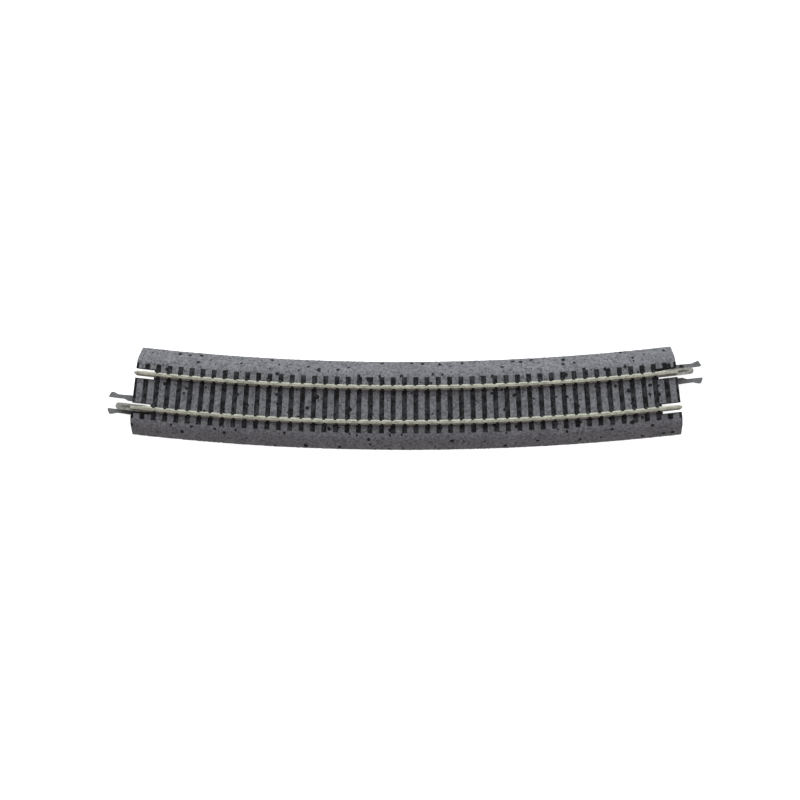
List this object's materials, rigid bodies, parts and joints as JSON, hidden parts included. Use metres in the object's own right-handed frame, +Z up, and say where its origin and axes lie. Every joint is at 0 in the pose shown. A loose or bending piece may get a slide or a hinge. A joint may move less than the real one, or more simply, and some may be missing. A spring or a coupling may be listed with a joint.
{
  "type": "model track section",
  "caption": "Curved model railway track section on a moulded ballast base, with sleepers, metal rails and push-fit joiners at both ends.",
  "frame": {"origin": "on the ground plane, below the middle of the track's centre line, at the mouth of the track-nail hole", "axes": "+X along the track to the right-hand end, +Y towards the centre of the curve, +Z up"},
  "size_m": [0.1219, 0.0211, 0.0052],
  "materials": {
    "ballast_plastic": "sandy matt texture with dark flecks",
    "sleeper_plastic": "matt",
    "rail_metal": "drawn nickel silver, satin",
    "joiner_metal": "pressed nickel silver, satin",
    "clip_plastic": "smooth, semi-matt"
  },
  "bodies": {
    "track": {"roadbed": "ballast_plastic", "sleeper_strip": "sleeper_plastic", "inner_rail": "rail_metal", "outer_rail": "rail_metal"},
    "left_joiner": {"left_clip": "clip_plastic", "left_rail_joiner": "joiner_metal"},
    "left_rear_prong": {"left_rear_prong": "clip_plastic"},
    "left_front_prong": {"left_front_prong": "clip_plastic"},
    "right_joiner": {"right_clip": "clip_plastic", "right_rail_joiner": "joiner_metal"},
    "right_rear_prong": {"right_rear_prong": "clip_plastic"},
    "right_front_prong": {"right_front_prong": "clip_plastic"}
  },
  "joints": [
    {"name": "left_joiner_slide", "type": "slide", "parent": "track", "child": "left_joiner", "axis": [-0.9936, 0.1132, 0], "range_m": [0, 0.008]},
    {"name": "left_front_prong_flex", "type": "hinge", "parent": "left_joiner", "child": "left_front_prong", "pos_m": [-0.05709, -0.00117, 0.00165], "axis": [0, 0, -1], "range_deg": [0, 6], "stiffness_Nm_per_rad": 0.000005},
    {"name": "left_rear_prong_flex", "type": "hinge", "parent": "left_joiner", "child": "left_rear_prong", "pos_m": [-0.05678, 0.00156, 0.00165], "axis": [0, 0, 1], "range_deg": [0, 6], "stiffness_Nm_per_rad": 0.000005},
    {"name": "right_joiner_slide", "type": "slide", "parent": "track", "child": "right_joiner", "axis": [0.9936, 0.1132, 0], "range_m": [0, 0.008]},
    {"name": "right_rear_prong_flex", "type": "hinge", "parent": "right_joiner", "child": "right_rear_prong", "pos_m": [0.05608, 0.00772, 0.00165], "axis": [0, 0, -1], "range_deg": [0, 6], "stiffness_Nm_per_rad": 0.000005},
    {"name": "right_front_prong_flex", "type": "hinge", "parent": "right_joiner", "child": "right_front_prong", "pos_m": [0.05639, 0.00499, 0.00165], "axis": [0, 0, 1], "range_deg": [0, 6], "stiffness_Nm_per_rad": 0.000005}
  ]
}
